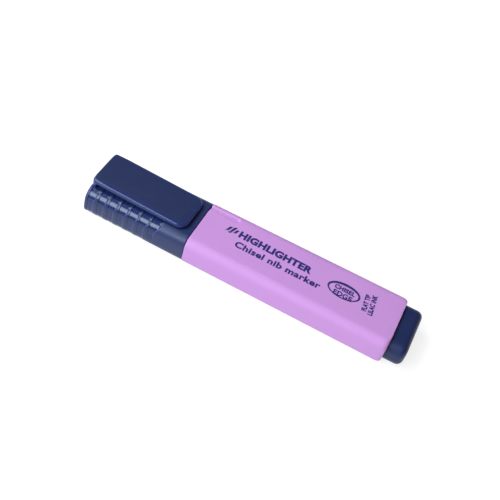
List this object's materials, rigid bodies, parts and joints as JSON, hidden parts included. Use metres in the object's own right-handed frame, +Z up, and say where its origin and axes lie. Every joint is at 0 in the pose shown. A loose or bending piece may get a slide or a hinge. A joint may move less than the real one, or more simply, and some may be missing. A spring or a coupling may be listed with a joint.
{
  "type": "highlighter",
  "caption": "Flat chisel-tip highlighter with a pull-off cap, a springy pocket clip, grip grooves and a butt plug.",
  "frame": {"origin": "on the surface the pen lies on, under the middle of its box", "axes": "+X along the pen from the cap's closed end to the butt, +Z up out of the wide face that carries the clip, +Y across"},
  "size_m": [0.122, 0.0252, 0.0147],
  "materials": {
    "barrel_lilac": "satin moulded polypropylene",
    "plug_navy": "satin moulded polypropylene",
    "section_navy": "satin moulded polypropylene",
    "cap_navy": "fine matte moulded polypropylene, polished in the grip grooves",
    "liner_natural": "natural milky polypropylene",
    "felt_ink": "bonded fibre, wet with ink",
    "core_fibre": "fibre bundle soaked in ink",
    "film_clear": "thin glossy film"
  },
  "bodies": {
    "barrel": {"barrel_shell": "barrel_lilac", "end_plug": "plug_navy", "nib_section": "section_navy", "nib": "felt_ink", "ink_core": "core_fibre", "core_film": "film_clear"},
    "cap": {"cap_shell": "cap_navy", "cap_liner": "liner_natural"},
    "clip": {"clip": "cap_navy"}
  },
  "joints": [
    {"name": "cap_pull", "type": "slide", "parent": "barrel", "child": "cap", "axis": [-1, 0, 0], "range_m": [0, 0.045]},
    {"name": "clip_flex", "type": "hinge", "parent": "cap", "child": "clip", "pos_m": [-0.0592, 0, 0.0147], "axis": [0, -1, 0], "range_deg": [0, 5], "stiffness_Nm_per_rad": 0.9}
  ]
}
